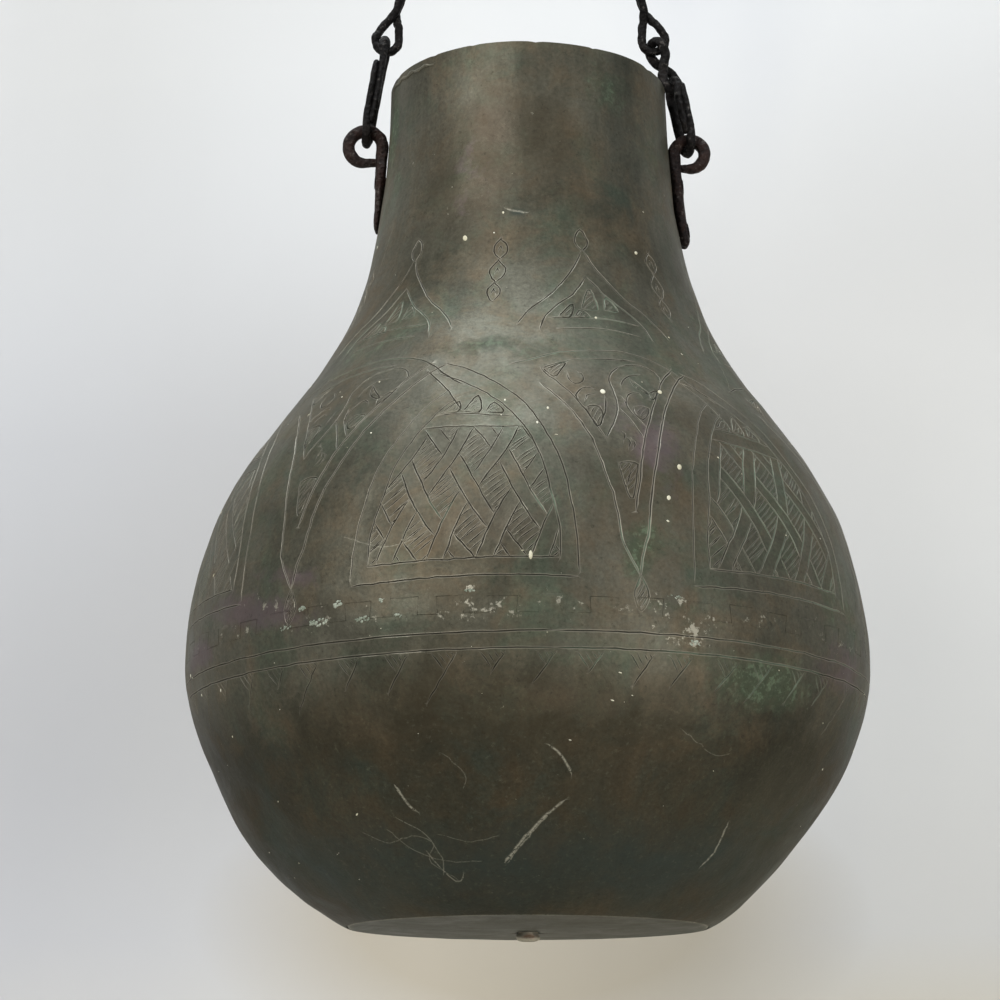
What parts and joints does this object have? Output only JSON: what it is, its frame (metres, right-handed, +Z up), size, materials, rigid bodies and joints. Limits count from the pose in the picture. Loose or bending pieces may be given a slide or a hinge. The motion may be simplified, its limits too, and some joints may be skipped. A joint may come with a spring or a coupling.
{
  "type": "hanging copper pot",
  "caption": "Pear-shaped engraved copper pot with a tabbed waist seam and riveted iron eye straps, hung by twisted-link chains from a ring and an S-shaped hook.",
  "frame": {"origin": "inside top of the hook's upper bend, where the pot hangs", "axes": "+Z up along the pot's axis, +X towards the right-hand eye strap, -Y towards the viewer of the picture"},
  "size_m": [0.312, 0.312, 0.7119],
  "materials": {
    "shoulder_copper": "worn, brown and grey-green patina",
    "bowl_copper": "worn, dark blue-green and brown patina",
    "base_copper": "worn, grey-green patina",
    "plug_copper": "dull red-brown",
    "chain_iron": "forged, near-black",
    "strap_iron": "forged, brown rust"
  },
  "bodies": {
    "hook": {"suspension_hook": "chain_iron"},
    "ring": {"suspension_ring": "chain_iron"},
    "left_link_1": {"left_link_1": "chain_iron"},
    "left_link_2": {"left_link_2": "chain_iron"},
    "left_link_3": {"left_link_3": "chain_iron"},
    "left_link_4": {"left_link_4": "chain_iron"},
    "left_link_5": {"left_link_5": "chain_iron"},
    "left_link_6": {"left_link_6": "chain_iron"},
    "left_link_7": {"left_link_7": "chain_iron"},
    "right_link_1": {"right_link_1": "chain_iron"},
    "right_link_2": {"right_link_2": "chain_iron"},
    "right_link_3": {"right_link_3": "chain_iron"},
    "right_link_4": {"right_link_4": "chain_iron"},
    "right_link_5": {"right_link_5": "chain_iron"},
    "right_link_6": {"right_link_6": "chain_iron"},
    "right_link_7": {"right_link_7": "chain_iron"},
    "right_link_8": {"right_link_8": "chain_iron"},
    "pot": {"upper_shell": "shoulder_copper", "lower_shell": "bowl_copper", "base_disc": "base_copper", "base_plug": "plug_copper", "left_eye_strap": "strap_iron", "left_upper_rivet": "strap_iron", "left_upper_rove": "strap_iron", "left_lower_rivet": "strap_iron", "left_lower_rove": "strap_iron", "right_eye_strap": "strap_iron", "right_upper_rivet": "strap_iron", "right_upper_rove": "strap_iron", "right_lower_rivet": "strap_iron", "right_lower_rove": "strap_iron"}
  },
  "joints": [
    {"name": "ring_swing", "type": "hinge", "parent": "hook", "child": "ring", "pos_m": [0, 0, -0.041], "axis": [0, 1, 0], "range_deg": [-25, 25]},
    {"name": "left_link_7_swing", "type": "hinge", "parent": "ring", "child": "left_link_7", "pos_m": [-0.0048, 0, -0.06546], "axis": [1, 0, 0], "range_deg": [-15, 15]},
    {"name": "left_link_6_swing", "type": "hinge", "parent": "left_link_7", "child": "left_link_6", "pos_m": [-0.01597, 0, -0.10061], "axis": [1, 0, 0], "range_deg": [-15, 15]},
    {"name": "left_link_5_swing", "type": "hinge", "parent": "left_link_6", "child": "left_link_5", "pos_m": [-0.02714, 0, -0.13576], "axis": [1, 0, 0], "range_deg": [-15, 15]},
    {"name": "left_link_4_swing", "type": "hinge", "parent": "left_link_5", "child": "left_link_4", "pos_m": [-0.03831, 0, -0.17091], "axis": [1, 0, 0], "range_deg": [-15, 15]},
    {"name": "left_link_3_swing", "type": "hinge", "parent": "left_link_4", "child": "left_link_3", "pos_m": [-0.04948, 0, -0.20605], "axis": [1, 0, 0], "range_deg": [-15, 15]},
    {"name": "left_link_2_swing", "type": "hinge", "parent": "left_link_3", "child": "left_link_2", "pos_m": [-0.06064, 0, -0.2412], "axis": [1, 0, 0], "range_deg": [-15, 15]},
    {"name": "left_link_1_swing", "type": "hinge", "parent": "left_link_2", "child": "left_link_1", "pos_m": [-0.07066, 0, -0.2762], "axis": [1, 0, 0], "range_deg": [-15, 15]},
    {"name": "pot_tilt", "type": "hinge", "parent": "left_link_1", "child": "pot", "pos_m": [-0.07762, 0, -0.31811], "axis": [0.9995, 0, -0.032], "range_deg": [-18, 18]},
    {"name": "right_link_8_swing", "type": "hinge", "parent": "ring", "child": "right_link_8", "pos_m": [0.0048, 0, -0.06546], "axis": [1, 0, 0], "range_deg": [-15, 15]},
    {"name": "right_link_7_swing", "type": "hinge", "parent": "right_link_8", "child": "right_link_7", "pos_m": [0.01451, 0, -0.10061], "axis": [1, 0, 0], "range_deg": [-15, 15]},
    {"name": "right_link_6_swing", "type": "hinge", "parent": "right_link_7", "child": "right_link_6", "pos_m": [0.02422, 0, -0.13576], "axis": [1, 0, 0], "range_deg": [-15, 15]},
    {"name": "right_link_5_swing", "type": "hinge", "parent": "right_link_6", "child": "right_link_5", "pos_m": [0.03393, 0, -0.17091], "axis": [1, 0, 0], "range_deg": [-15, 15]},
    {"name": "right_link_4_swing", "type": "hinge", "parent": "right_link_5", "child": "right_link_4", "pos_m": [0.04364, 0, -0.20605], "axis": [1, 0, 0], "range_deg": [-15, 15]},
    {"name": "right_link_3_swing", "type": "hinge", "parent": "right_link_4", "child": "right_link_3", "pos_m": [0.05335, 0, -0.2412], "axis": [1, 0, 0], "range_deg": [-15, 15]},
    {"name": "right_link_2_swing", "type": "hinge", "parent": "right_link_3", "child": "right_link_2", "pos_m": [0.06313, 0, -0.2762], "axis": [1, 0, 0], "range_deg": [-15, 15]},
    {"name": "right_link_1_swing", "type": "hinge", "parent": "right_link_2", "child": "right_link_1", "pos_m": [0.0715, 0, -0.2974], "axis": [1, 0, 0], "range_deg": [-1.5, 1.5]}
  ],
  "couplings": [
    {"joint": "right_link_8_swing", "follows": "left_link_7_swing", "ratio": 1},
    {"joint": "right_link_7_swing", "follows": "left_link_6_swing", "ratio": 1},
    {"joint": "right_link_6_swing", "follows": "left_link_5_swing", "ratio": 1},
    {"joint": "right_link_5_swing", "follows": "left_link_4_swing", "ratio": 1},
    {"joint": "right_link_4_swing", "follows": "left_link_3_swing", "ratio": 1},
    {"joint": "right_link_3_swing", "follows": "left_link_2_swing", "ratio": 1},
    {"joint": "right_link_2_swing", "follows": "left_link_1_swing", "ratio": 1}
  ]
}
